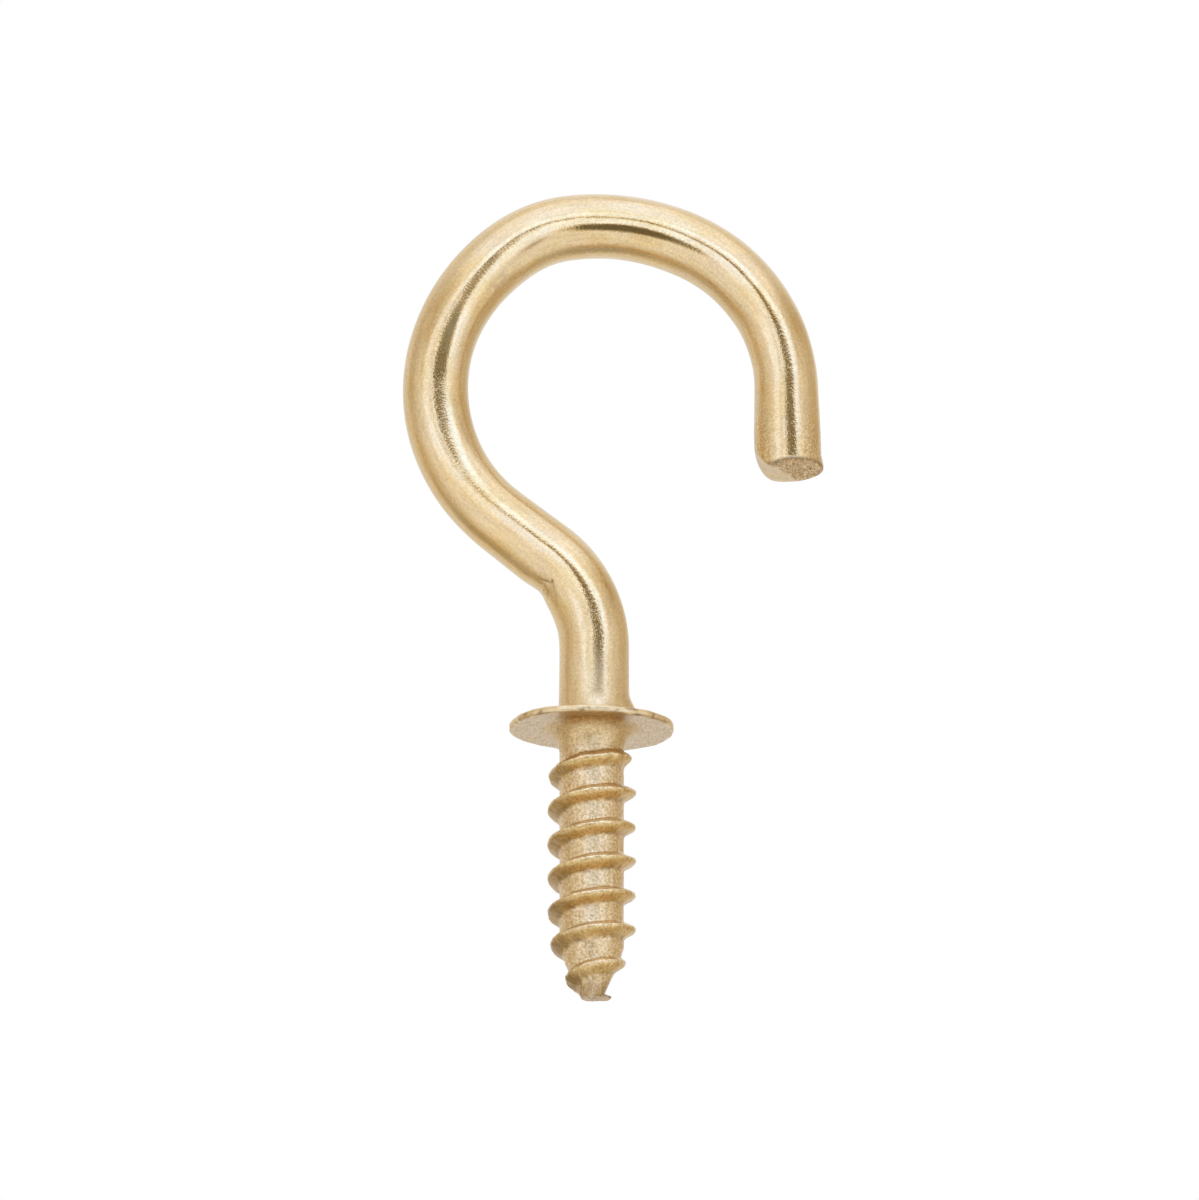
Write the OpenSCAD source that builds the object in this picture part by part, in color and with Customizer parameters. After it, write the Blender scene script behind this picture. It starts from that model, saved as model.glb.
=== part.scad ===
// Cup hook: one length of brass wire with a wood-screw thread on one end, a pressed collar
// where it seats against the shelf, and an open round bow for the cup's handle.
//
// Frame: millimetres, the centre of the collar's seat face is the origin, the screw runs
// down -Z, the bow stands up +Z in the XZ plane, and the mouth opens on the +X side.

/* [Wire] */
// Diameter of the drawn wire that makes the bow
wire_d = 3.08; // [2.4:0.02:4]
// Diameter of the shank, swollen a little where the collar was pressed up
shank_d = 3.3; // [2.6:0.1:4.2]
// How far the shank stands off the screw's axis, towards the mouth
shank_offset = 0.12; // [0:0.02:0.2]

/* [Bow] */
// Height above the seat face at which the shank starts to bend
shank_h = 4.1; // [2:0.05:8]
// Angle that the lower bend turns the wire back
bend_angle = 51.2; // [40:0.1:60]
// Centreline radius of the lower bend
bend_r = 5.85; // [3:0.05:9]
// Straight run between the lower bend and the bow
lead_l = 2.85; // [1:0.05:5]
// Centreline radius of the bow's back, away from the mouth
back_r = 8.25; // [6:0.05:12]
// Angle that the back's radius holds for
back_angle = 81; // [60:1:100]
// Centreline radius of the flatter stretch between the back and the crown
haunch_r = 9.05; // [6:0.05:14]
// Angle that the haunch's radius holds for
haunch_angle = 25; // [10:1:35]
// Centreline radius of the bow's crown
crown_r = 5.7; // [4.5:0.1:12]
// Angle that the crown's radius holds for
crown_angle = 27.5; // [15:0.5:40]
// Centreline radius of the flatter stretch between the crown and the front
shoulder_r = 10.2; // [6:0.1:14]
// Angle that the shoulder's radius holds for
shoulder_angle = 33; // [15:1:40]
// Centreline radius of the bow's front, over the mouth
front_r = 8; // [6:0.05:12]
// Lean of the free end in towards the shank, or out where it is negative
tip_lean = -1.3; // [-4:0.1:5]
// Straight run from the bow to the sheared end
tip_l = 4; // [1.5:0.1:6]

/* [Sheared end] */
// Diameter of the wire at the cut, swollen a little by the shears
cut_d = 3.2; // [2.6:0.02:4.2]
// Slope of the shear cut, short on the side away from the shank
cut_angle = 4; // [0:0.5:20]
// Height above the cut at which its roll-over starts, on the side towards the shank
roll_h = 0.93; // [0.6:0.01:1.1]
// Radius of that roll-over
roll_r = 1.5; // [1.3:0.05:1.8]

/* [Collar] */
// Diameter across the collar
collar_d = 7.8; // [6.5:0.1:11]
// Thickness at the rim
collar_t = 0.34; // [0.3:0.02:0.8]
// Radius of the rim's edges
rim_r = 0.12; // [0.05:0.01:0.14]
// Depth across the collar between the flatter sides that the pressing dies leave
collar_depth = 6.7; // [5.8:0.1:11]
// Radius of those flatter sides
flat_r = 4.9; // [4.2:0.1:8]
// Radius of the fillet between the shank and the collar
foot_r = 0.6; // [0.1:0.05:0.8]

/* [Screw] */
// Diameter of the plain neck under the collar
neck_d = 3.12; // [2.6:0.02:4]
// Radius of the fillet between the collar's seat face and the neck
neck_fillet_r = 0.75; // [0.3:0.05:0.8]
// Length from the seat face to the end of the neck
neck_l = 0.95; // [0.8:0.05:3]
// Length from the seat face to the blunt point
screw_l = 13.2; // [9:0.1:25]
// Outer diameter over the thread
thread_d = 4.2; // [3.6:0.1:5.5]
// Diameter of the core at the bottom of the thread
core_d = 3.04; // [2:0.02:3.5]
// Outer diameter of the thread where it starts under the neck
start_thread_d = 3.94; // [3.3:0.02:5]
// Pitch of the right-hand thread
pitch = 1.693; // [1.2:0.001:2.6]
// Width of the thread's crest
crest_w = 0.2; // [0.1:0.02:0.5]
// Width of the thread's base, where it stands on the core
base_w = 0.84; // [0.5:0.02:1.1]
// Width of the small round at the foot of the thread's flanks
root_round = 0.12; // [0.04:0.02:0.2]
// Length of the core's taper
core_taper_l = 2.5; // [1:0.1:6]
// Length of the thread's taper
crest_taper_l = 2.9; // [1:0.1:6]
// Diameter of the core at the blunt point
point_d = 0.98; // [0.4:0.02:1.6]
// Outer diameter of the thread at the blunt point
point_thread_d = 1.76; // [1:0.02:2.6]

/* [Hidden] */
$fn = 96;

wire_r = wire_d / 2;
shank_r = shank_d / 2;
cut_r = cut_d / 2;
collar_r = collar_d / 2;
neck_r = neck_d / 2;
// The bow's front turns whatever brings the free end back beside the shank
front_angle =
    180 + bend_angle + tip_lean - back_angle - haunch_angle - crown_angle - shoulder_angle;
// Distance of the flatter sides' centres from the collar's middle line
flat_offset = flat_r - collar_depth / 2;
// The flatter sides are centred a little towards the mouth, so the collar is fuller there
flat_shift = 0.4;
// Each run of wire is let into the run before it, and is a hair thinner
let_in = 0.1;
hair = 0.01;
// Angle at which the roll-over leaves the wire's side
roll_lead = 14;

// Mesh of the thread: facets round one turn, and the rows of points across one pitch.
// Each row gives its height above a crest and how far up the ridge it stands, 0 to 1.
turn_facets = 48;
crest_edge = [crest_w / 2, 0.96];
flank_foot = [(base_w - root_round) / 2, 0.09];
root_edge = [(base_w + root_round) / 2, 0];
ridge_rows = [
    [0, 1],
    crest_edge,
    flank_foot,
    root_edge,
    [pitch - root_edge[0], root_edge[1]],
    [pitch - flank_foot[0], flank_foot[1]],
    [pitch - crest_edge[0], crest_edge[1]],
];
rows = len(ridge_rows);
// The thread's mesh has its flat top let into the neck, this far above the point
mesh_h = screw_l - neck_l + let_in;
mesh_turns = ceil(mesh_h / pitch);
last_row = rows * (mesh_turns + 1);
// Depth of the dome on the blunt point
point_dome = 0.05;
// The ridge rises and dies out over these spans, counted in turns up from the mesh's start
fade_turns = 0.14;
point_fade = [1 - fade_turns, 1];
neck_turn = (screw_l - neck_l - base_w / 2) / pitch + 1;
neck_fade = [neck_turn, neck_turn + fade_turns];

// 0 below the first value, 1 above the second, and a straight ramp between them
function ramp(x, from, to) = max(0, min(1, (x - from) / (to - from)));
function mix(a, b, t) = a + (b - a) * t;

// Core and crest radius at a height above the blunt point. The crest comes to its full
// height over the first turn under the neck.
function core_radius(h) = mix(point_d, core_d, ramp(h, 0, core_taper_l)) / 2;
function crest_radius(h) =
    min(
        mix(point_thread_d, thread_d, ramp(h, 0, crest_taper_l)),
        mix(start_thread_d, thread_d, ramp(mesh_h - h, base_w / 2, base_w / 2 + pitch))
    ) / 2;

// Height of the ridge over the core at a number of turns above the start of the mesh
function ridge_height(turns, h) =
    (crest_radius(h) - core_radius(h))
    * ramp(turns, point_fade[0], point_fade[1])
    * (1 - ramp(turns, neck_fade[0], neck_fade[1]));

// One point of the thread's surface. The rows wind up the screw like the thread itself, so
// one turn further round is one pitch, or one set of rows, further up. The rows below the
// point close over its end face, and those above the mesh's top close over its top face.
function thread_point(column, row) =
    let (
        around = column / turn_facets,
        ridge = ridge_rows[row % rows],
        h = (around + floor(row / rows) - 1) * pitch + ridge[0],
        below = max(0, -h) / pitch,
        above = max(0, h - mesh_h) / ((mesh_turns + 1) * pitch - mesh_h),
        side_h = max(0, min(h, mesh_h)),
        radius = core_radius(side_h) * (1 - below - above)
            + ridge[1] * ridge_height(around + round(row / rows), side_h),
        z = side_h - screw_l - point_dome * below * (2 - below)
    )
    [radius * cos(360 * around), radius * sin(360 * around), z];

// Where a point stands in the list: the first column carries one more turn of rows, because
// the column after the last one is the first column, one turn higher
function thread_index(column, row) =
    column == turn_facets ? row + rows
    : column == 0 ? row
    : last_row + rows + 1 + (column - 1) * (last_row + 1) + row;

// The whole threaded length as one closed mesh, its flat top buried in the neck above it
module screw_thread() {
    points = concat(
        [for (row = [0:last_row + rows]) thread_point(0, row)],
        [for (column = [1:turn_facets - 1], row = [0:last_row]) thread_point(column, row)]
    );
    end_column = turn_facets - 1;
    faces = concat(
        [for (column = [0:end_column], row = [0:last_row - 1], half = [0, 1])
            half == 0
                ? [thread_index(column, row), thread_index(column + 1, row + 1),
                   thread_index(column + 1, row)]
                : [thread_index(column, row), thread_index(column, row + 1),
                   thread_index(column + 1, row + 1)]],
        // the blunt point's end face
        [for (column = [1:end_column - 1])
            [0, thread_index(column, 0), thread_index(column + 1, 0)]],
        [for (row = [0:rows - 1]) [thread_index(end_column, 0), row + 1, row]],
        // the buried top face
        [for (column = [1:end_column - 1])
            [last_row + rows, thread_index(column + 1, last_row), thread_index(column, last_row)]],
        [for (row = [last_row:last_row + rows - 1]) [thread_index(1, last_row), row, row + 1]]
    );
    polyhedron(points, faces, convexity = 10);
}

// A round disc with its rim's edges rounded, its lower face at Z = 0
module rounded_disc(radius) {
    rotate_extrude()
        union() {
            square([radius - rim_r, collar_t]);
            translate([0, rim_r]) square([radius, collar_t - 2 * rim_r]);
            for (z = [rim_r, collar_t - rim_r]) translate([radius - rim_r, z]) circle(rim_r);
        }
}

// The pressed collar: round towards the mouth, flatter at the front and the back
module collar() {
    intersection() {
        rounded_disc(collar_r);
        translate([flat_shift, flat_offset, 0]) rounded_disc(flat_r);
        translate([flat_shift, -flat_offset, 0]) rounded_disc(flat_r);
    }
}

// A fillet ring that widens a round bar of the given radius down onto the plane at Z = 0
module fillet_ring(bar_r, fillet_r) {
    rotate_extrude()
        difference() {
            square([bar_r + fillet_r, fillet_r]);
            translate([bar_r + fillet_r, fillet_r]) circle(fillet_r);
        }
}

// The plain neck, filleted into the collar's seat face
module neck() {
    translate([0, 0, -neck_l]) cylinder(h = neck_l + collar_t / 2, r = neck_r);
    mirror([0, 0, 1]) fillet_ring(neck_r, neck_fillet_r);
}

// A straight run of wire, with what follows it carried to its far end
module straight(length, r1, r2) {
    translate([0, 0, -let_in]) cylinder(h = length + let_in, r1 = r1, r2 = r2);
    translate([0, 0, length]) children();
}

// A bend of the wire towards +X, or towards -X for a negative angle, with what follows it
// carried to its far end
module bend(radius, angle, bar_r) {
    let_in_angle = let_in / radius * 180 / PI;
    if (angle < 0)
        rotate([0, 0, 180]) bend(radius, -angle, bar_r) rotate([0, 0, 180]) children();
    else {
        translate([radius, 0, 0]) rotate([90, 0, 0]) rotate([0, 0, 180 - angle])
            rotate_extrude(angle = angle + let_in_angle) translate([radius, 0]) circle(bar_r);
        translate([radius * (1 - cos(angle)), 0, radius * sin(angle)])
            rotate([0, angle, 0]) children();
    }
}

// The free end of the wire: swollen towards the cut, sheared off on a slope, and rolled over
// towards the shank, which is on its own +X side
module sheared_end(length, bar_r) {
    block = 2 * roll_r;
    swell_z = length / 3;
    difference() {
        union() {
            translate([0, 0, -let_in]) cylinder(h = swell_z + let_in, r = bar_r);
            translate([0, 0, swell_z - hair])
                cylinder(h = length - swell_z + hair, r1 = bar_r, r2 = cut_r);
            translate([0, 0, length - hair]) cylinder(h = cut_r, r = cut_r);
        }
        translate([0, 0, length]) rotate([0, -cut_angle, 0])
            translate([-block, -block, 0]) cube(2 * block);
        translate([cut_r - roll_r * cos(roll_lead), 0, length - roll_h - roll_r * sin(roll_lead)])
            difference() {
                translate([0, -block, 0]) cube(2 * block);
                rotate([90, 0, 0]) cylinder(h = 5 * block, r = roll_r, center = true);
            }
    }
}

// The whole wire from inside the collar to the sheared end
module wire() {
    start_z = collar_t / 4 + let_in;
    translate([shank_offset, 0, start_z])
        straight(shank_h - start_z, shank_r, shank_r)
            bend(bend_r, -bend_angle, shank_r - hair)
                straight(lead_l, shank_r - 2 * hair, wire_r + 3 * hair)
                    bend(back_r, back_angle, wire_r + 2 * hair)
                        bend(haunch_r, haunch_angle, wire_r + hair)
                            bend(crown_r, crown_angle, wire_r)
                                bend(shoulder_r, shoulder_angle, wire_r - hair)
                                    bend(front_r, front_angle, wire_r - 2 * hair)
                                        sheared_end(tip_l, wire_r - 3 * hair);
    translate([shank_offset, 0, collar_t]) fillet_ring(shank_r, foot_r);
}

module cup_hook() {
    color("goldenrod") {
        wire();
        collar();
        neck();
        screw_thread();
    }
}

cup_hook();
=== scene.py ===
"""The looks of a brass cup hook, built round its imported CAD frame.

The hook is one formed piece, so it is one mesh: a wire swept along a spine, with the wood-screw
thread, the pressed collar and the sheared end as stretches of the same skin. Sizes are in
millimetres in the hook's own frame: the seat face's centre is the origin, the screw runs down -Z,
the bow stands up +Z in the XZ plane and its mouth opens on the +X side.
"""

import logging
import math
from dataclasses import dataclass, field
from enum import Enum

import bpy
import numpy as np
from mathutils import Matrix, Vector
from mathutils import noise as mnoise


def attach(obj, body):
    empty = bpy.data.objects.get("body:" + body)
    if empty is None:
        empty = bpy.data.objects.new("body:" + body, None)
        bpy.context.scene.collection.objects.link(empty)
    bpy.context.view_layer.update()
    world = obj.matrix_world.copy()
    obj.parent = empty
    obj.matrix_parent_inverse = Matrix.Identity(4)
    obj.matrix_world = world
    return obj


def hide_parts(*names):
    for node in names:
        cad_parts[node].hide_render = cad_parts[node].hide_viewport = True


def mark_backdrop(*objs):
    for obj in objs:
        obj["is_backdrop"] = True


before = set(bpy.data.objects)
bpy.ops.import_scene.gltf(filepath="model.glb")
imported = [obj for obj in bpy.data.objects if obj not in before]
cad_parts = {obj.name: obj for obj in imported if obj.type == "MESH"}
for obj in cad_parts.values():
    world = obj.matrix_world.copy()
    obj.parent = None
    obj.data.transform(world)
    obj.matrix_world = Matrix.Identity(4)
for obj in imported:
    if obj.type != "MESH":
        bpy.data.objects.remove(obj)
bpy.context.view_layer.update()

LOG = logging.getLogger("cup_hook")
NODE = "cup_hook"
MM = 0.001
TAU = 2 * math.pi
UP = math.pi / 2

# Each row of the skin has this many points. Their angles start at the side towards the mouth,
# which is the inner side along the bow, and go by the back, the outer side and the front.
COLUMNS = 160
ANGLES = np.arange(COLUMNS) / COLUMNS * TAU
COS, SIN = np.cos(ANGLES), np.sin(ANGLES)
INNER, OUTER, FRONT = 0.0, math.pi, 1.5 * math.pi

# How much of the collar's and of the thread flank's finish the plain neck has.
NECK_AS_COLLAR = 0.4
NECK_AS_FLANK = 0.45

Values = np.ndarray | float


# ---------------------------------------------------------------------------------- curves


def smooth(x: Values, start: float, end: float) -> np.ndarray:
    """A ramp that eases from 0 at start to 1 at end.

    Args:
        x: Where the ramp is read.
        start: Where the ramp leaves 0.
        end: Where the ramp reaches 1.

    Returns:
        The ramp's value at x.
    """
    t = held((np.asarray(x, float) - start) / (end - start))
    return t * t * (3 - 2 * t)


def bell(x: Values, centre: Values, width: float) -> np.ndarray:
    """A smooth hump of height 1 at centre, almost gone two widths away."""
    return np.exp(-(((np.asarray(x, float) - centre) / width) ** 2))


def held(x: Values) -> np.ndarray:
    """Values held between 0 and 1."""
    return np.clip(x, 0.0, 1.0)


def soft_step(x: np.ndarray, softness: float) -> np.ndarray:
    """Holds x between 0 and 1 with both corners rounded.

    Args:
        x: The values to hold.
        softness: How far round each corner the rounding reaches.

    Returns:
        The held values.
    """
    low = np.logaddexp(0.0, x / softness)
    high = np.logaddexp(0.0, (x - 1) / softness)
    return (low - high) * softness


def around_gap(centre: float) -> np.ndarray:
    """The shortest way round from centre to each column, in radians."""
    return (ANGLES - centre + math.pi) % TAU - math.pi


@dataclass(frozen=True)
class Grit:
    """A layer of fixed, smooth noise over the metal.

    Its feature size is in millimetres, and the seed picks a stretch of the same noise. The noise
    runs from -1 to 1 before it is multiplied by the strength and raised by the lift.
    """

    size: float
    seed: float
    strength: float = 1.0
    lift: float = 0.0

    def at(self, points: np.ndarray) -> np.ndarray:
        """The layer's values.

        Args:
            points: An array of points in millimetres, three numbers in its last axis.

        Returns:
            One value for each point.
        """
        flat = points.reshape(-1, 3) / self.size + self.seed
        values = [mnoise.noise(Vector(p)) for p in flat]
        return np.array(values).reshape(points.shape[:-1]) * self.strength + self.lift

    def cover(self, points: np.ndarray) -> np.ndarray:
        """The layer's values at the points, held between 0 and 1."""
        return held(self.at(points))


def layered(points: np.ndarray, layers: tuple[Grit, ...]) -> np.ndarray:
    """The sum of several layers of noise at the points."""
    return sum(layer.at(points) for layer in layers)


# ------------------------------------------------------------------------------- the skin


class Zone(Enum):
    """The worked zones of the metal, painted on the skin from 0 to 1 and read by the finish."""

    THREAD = "thread"
    # Crests: less rough, and a painted highlight along their upper half.
    CREST = "crest"
    FLANK = "flank"
    COLLAR = "collar"
    SHEAR = "shear"
    EDGE = "edge"
    # Darkened to a deep brown: real nicks, scratches, smudges and fine lines, and painted shade in the
    # thread's grooves, under its crests and on its lobes away from the mouth, in the nip's crease and along
    # the torn rim; the screw also darkens towards its point.
    SEAM = "seam"
    SCUFF = "scuff"
    SATIN = "satin"
    PEBBLE = "pebble"


Paint = dict[Zone, Values]


@dataclass
class Skin:
    """Rows of points round the spine, from the screw's point to the sheared end.

    Beside its place, each point carries its place on the wire as if it were pulled straight, and
    the paint that the finish reads.
    """

    places: list[np.ndarray] = field(default_factory=list)
    drawn: list[np.ndarray] = field(default_factory=list)
    paint: dict[Zone, list[np.ndarray]] = field(default_factory=dict)

    def add(self, place: np.ndarray, drawn: np.ndarray, paint: Paint) -> None:
        """Adds one row.

        Args:
            place: The points, in millimetres.
            drawn: The same points on the straightened wire.
            paint: The row's paint, which is 0 for a zone left out.
        """
        self.places.append(place)
        self.drawn.append(drawn)
        for zone in Zone:
            value = np.broadcast_to(np.asarray(paint.get(zone, 0.0), float), (COLUMNS,))
            self.paint.setdefault(zone, []).append(value)


@dataclass(frozen=True)
class Station:
    """A place on the spine: its point, its heading in the XZ plane and its length from the seat."""

    x: float
    z: float
    heading: float
    length: float

    def ring(self, radius: np.ndarray, ahead: Values = 0.0) -> np.ndarray:
        """Points round this station.

        Args:
            radius: Each column's distance from the spine.
            ahead: Each column's offset along the heading.

        Returns:
            The points, in millimetres.
        """
        across, along = radius * COS, np.broadcast_to(ahead, (COLUMNS,))
        sin_h, cos_h = math.sin(self.heading), math.cos(self.heading)
        x = self.x + across * sin_h + along * cos_h
        z = self.z - across * cos_h + along * sin_h
        return np.stack([x, radius * SIN, z], axis=-1)

    def drawn(self, radius: np.ndarray, ahead: Values = 0.0) -> np.ndarray:
        """The same points on the wire as if it were pulled straight."""
        along = np.broadcast_to(self.length + np.asarray(ahead, float), (COLUMNS,))
        return np.stack([radius * COS, radius * SIN, along], axis=-1)


# ------------------------------------------------------------------------------ the screw


@dataclass
class WoodScrew:
    """The plain neck and the rolled right-hand thread, from the blunt point to the seat.

    Heights are over the point. A size below or above is measured along the screw from the middle
    of a crest, and turns are counted along the helix from its start at the point.
    """

    length: float = 13.2
    neck_length: float = 0.95
    neck_radius: float = 1.56
    neck_fillet: float = 0.95
    neck_step: float = 0.1
    neck_smoothing: float = 0.35
    pitch: float = 1.693
    core_radius: float = 1.52
    core_taper: float = 2.5
    core_bulge: float = 1.15
    crest_radius: float = 2.1
    crest_taper: float = 2.9
    neck_crest_radius: float = 1.97
    crest_above: float = 0.1
    crest_below: float = 0.14
    crest_share: float = 0.6
    crest_round: float = 0.15
    base_above: float = 0.32
    base_below: float = 0.45
    nub_turns: float = 0.6
    run_in_turns: float = 0.14
    run_out_turns: float = 0.22
    ragged_turns: tuple[float, float] = (0.2, 0.9)
    ragged_turns_left: tuple[float, float] = (0.75, 0.1)
    point_radius: float = 0.5
    point_crest_radius: float = 0.9
    point_dome: float = 0.055
    point_shares: tuple[float, ...] = (0.0, 0.3, 0.55, 0.75, 0.88, 0.96)
    rows_per_pitch: int = 36

    rolled: tuple[Grit, ...] = (Grit(0.5, 3.1, 0.55), Grit(0.19, 7.7, 0.45))
    core_grain: float = 0.02
    crest_grain: float = 0.03
    wander: tuple[Grit, ...] = (Grit(0.8, 6.6, 0.035), Grit(0.25, 1.9, 0.02))
    rags: Grit = Grit(0.5, 8.3, lift=0.2)
    rag_depth: float = 0.3
    wear: Grit = Grit(0.9, 5.3, lift=-0.15)
    wear_depth: float = 0.03

    # Painted shade in the groove along the foot of each lower flank, even and with the grain.
    groove_width: float = 0.09
    groove_shade: tuple[float, float] = (0.35, 1.3)
    # The screw gets darker towards its point, evenly and with the grain.
    point_darkening: tuple[float, float] = (0.55, 0.8)
    point_darkening_heights: tuple[float, float] = (0.1, 1.3)
    # The side away from the mouth gets painted shade: golden lobes, a darker band under each crest, and
    # darker lobes near the point.
    lobe_side: float = 1.1 * math.pi
    lobe_spread: float = 0.7
    lobe_shade_gold: float = 0.8
    lee_shade: float = 0.75
    lobe_shade: float = 0.4
    shaded_lobe_heights: tuple[float, float] = (3.0, 5.5)

    def core(self, height: Values) -> np.ndarray:
        """The core's radius at a height."""
        left = 1 - held(np.asarray(height) / self.core_taper)
        return self.point_radius + (self.core_radius - self.point_radius) * (1 - left**self.core_bulge)

    def crest(self, height: Values) -> np.ndarray:
        """The crest's radius, which shrinks to the point and a little under the neck.

        Args:
            height: The height over the point.

        Returns:
            The radius there.
        """
        grown = held(np.asarray(height) / self.crest_taper)
        tapered = self.point_crest_radius + (self.crest_radius - self.point_crest_radius) * grown
        below_neck = self.length - self.neck_length - np.asarray(height)
        grown = smooth(below_neck, self.base_below, self.base_below + self.pitch)
        started = self.neck_crest_radius + (self.crest_radius - self.neck_crest_radius) * grown
        return np.minimum(tapered, started)

    def build(self, skin: Skin) -> None:
        """Adds the screw's rows to the skin, from the point up to the neck's fillet.

        Args:
            skin: The skin to add to.
        """
        for share in self.point_shares:
            self._row(skin, 0.0, share, -self.point_dome * (1 - math.sqrt(1 - (1 - share) ** 2)))
        step = self.pitch / self.rows_per_pitch
        count = int((self.length - self.neck_fillet) / step)
        for row in range(count + 1):
            self._row(skin, row * step)

    def _row(self, skin: Skin, height: float, share: float = 1.0, drop: float = 0.0) -> None:
        """Adds one row of the screw.

        Args:
            skin: The skin to add to.
            height: The row's height.
            share: How much of the radius the row keeps, for the point's end face.
            drop: How far the row is moved along Z, for the point's end face.
        """
        z = height - self.length
        station = Station(0.0, z, UP, z)
        spot = station.drawn(np.full(COLUMNS, self.crest_radius))
        rough = layered(spot, self.rolled)
        offset, base, ridge = self._profile(spot, height)
        core = self.core(height)
        neck = smooth(z, -self.neck_length - self.neck_step, -self.neck_length + self.neck_step)
        plain = smooth(z, -self.neck_length - self.neck_smoothing, -self.neck_length)
        radius = core * (1 - neck) + self.neck_radius * neck + (self.crest(height) - core) * ridge
        radius = radius + rough * (self.core_grain * (1 - plain) + self.crest_grain * ridge)
        radius = (radius - self.wear_depth * ridge * self.wear.cover(spot)) * share
        paint = self._paint(height, offset, base, ridge, rough)
        # The lobes away from the mouth take the flank's golden as painted shade; the plain neck takes it as
        # its own tone.
        golden = self.lobe_shade_gold * self._shaded_lobe(ridge) + NECK_AS_FLANK * plain
        paint[Zone.FLANK] = np.maximum(paint[Zone.FLANK], golden)
        paint[Zone.COLLAR] = NECK_AS_COLLAR * plain
        skin.add(station.ring(radius, drop), station.drawn(radius), paint)

    def _profile(self, spot: np.ndarray, height: float) -> tuple[np.ndarray, np.ndarray, np.ndarray]:
        """The thread's profile round one row.

        Args:
            spot: The row's points on the straightened wire.
            height: The row's height.

        Returns:
            Each column's offset above the nearest crest, the thread's half width at its base
            there, and how far it stands, from 0 at the core to 1 at the crest.
        """
        around = ANGLES / TAU
        turns = height / self.pitch - around
        nearest = np.round(turns)
        helix = nearest + around
        offset = (turns - nearest) * self.pitch + layered(spot, self.wander)
        base = np.where(offset < 0, self.base_below, self.base_above)
        base = base * (0.5 + 0.5 * smooth(helix, 0.0, self.nub_turns))
        crest = np.where(offset < 0, self.crest_below, self.crest_above)
        slope = (base - np.abs(offset)) / (base - np.minimum(crest, self.crest_share * base))
        last = (self.length - self.neck_length - self.base_below) / self.pitch
        ridge = soft_step(slope, self.crest_round) * smooth(helix, -self.run_in_turns, 0.0)
        ridge = ridge * (1 - smooth(helix, last, last + self.run_out_turns))
        short, near = self.ragged_turns_left
        ragged = smooth(helix, last - short, last - near) + 1 - smooth(helix, *self.ragged_turns)
        return offset, base, ridge * (1 - self.rag_depth * ragged * self.rags.cover(spot))

    def _shaded_lobe(self, ridge: np.ndarray) -> np.ndarray:
        """How much each column lies on the thread's lobes, on the side away from the mouth, where painted
        shade goes.
        """
        return bell(around_gap(self.lobe_side), 0.0, self.lobe_spread) * smooth(ridge, 0.1, 0.5)

    def _paint(
        self, height: float, offset: np.ndarray, base: np.ndarray, ridge: np.ndarray, rough: np.ndarray
    ) -> Paint:
        """The thread's own paint for one row, with painted shade in its grooves, under its crests and on its
        lobes away from the mouth.

        Args:
            height: The row's height.
            offset: Each column's offset above the nearest crest.
            base: The thread's half width at its base.
            ridge: How far the thread stands.
            rough: The rolled surface's grain.

        Returns:
            The row's paint.
        """
        groove = bell(offset, -base, self.groove_width) * self._grained_darkening(self.groove_shade, rough)
        point = (1 - smooth(height, *self.point_darkening_heights)) * self._grained_darkening(self.point_darkening, rough)
        # Painted shade under the crests and on the lobes, on the side away from the mouth.
        side = bell(around_gap(self.lobe_side), 0.0, self.lobe_spread)
        lee = side * smooth(-offset, -0.05, 0.2) * smooth(ridge, 0.0, 0.25)
        lobes = self._shaded_lobe(ridge) * (1 - smooth(height, *self.shaded_lobe_heights))
        return {
            Zone.THREAD: 1.0,
            # The crests' upper half, where a painted highlight goes.
            Zone.CREST: smooth(ridge, 0.84, 0.99) * smooth(offset, -0.1, 0.0),
            Zone.FLANK: smooth(ridge, 0.04, 0.3) * smooth(-offset, -0.03, 0.06),
            Zone.SEAM: held(groove + lee * self.lee_shade + point + lobes * held(self.lobe_shade + rough)),
        }

    @staticmethod
    def _grained_darkening(strength: tuple[float, float], rough: np.ndarray) -> np.ndarray:
        """Darkening of an even strength plus a strength that follows the grain, used for the painted shade
        in the grooves and for the darker point.
        """
        return strength[0] + strength[1] * rough


# ----------------------------------------------------------------------------- the collar


def foot_swell(up: float) -> np.ndarray:
    """How far the shank's foot swells towards the mouth, for each column.

    Args:
        up: The height over the seat plane.

    Returns:
        The swell past the plain fillet.
    """
    depth, spread, full, gone = 0.4, 0.6, 0.6, 1.85
    return depth * bell(around_gap(INNER), 0.0, spread) * (1 - smooth(up, full, gone))


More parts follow.
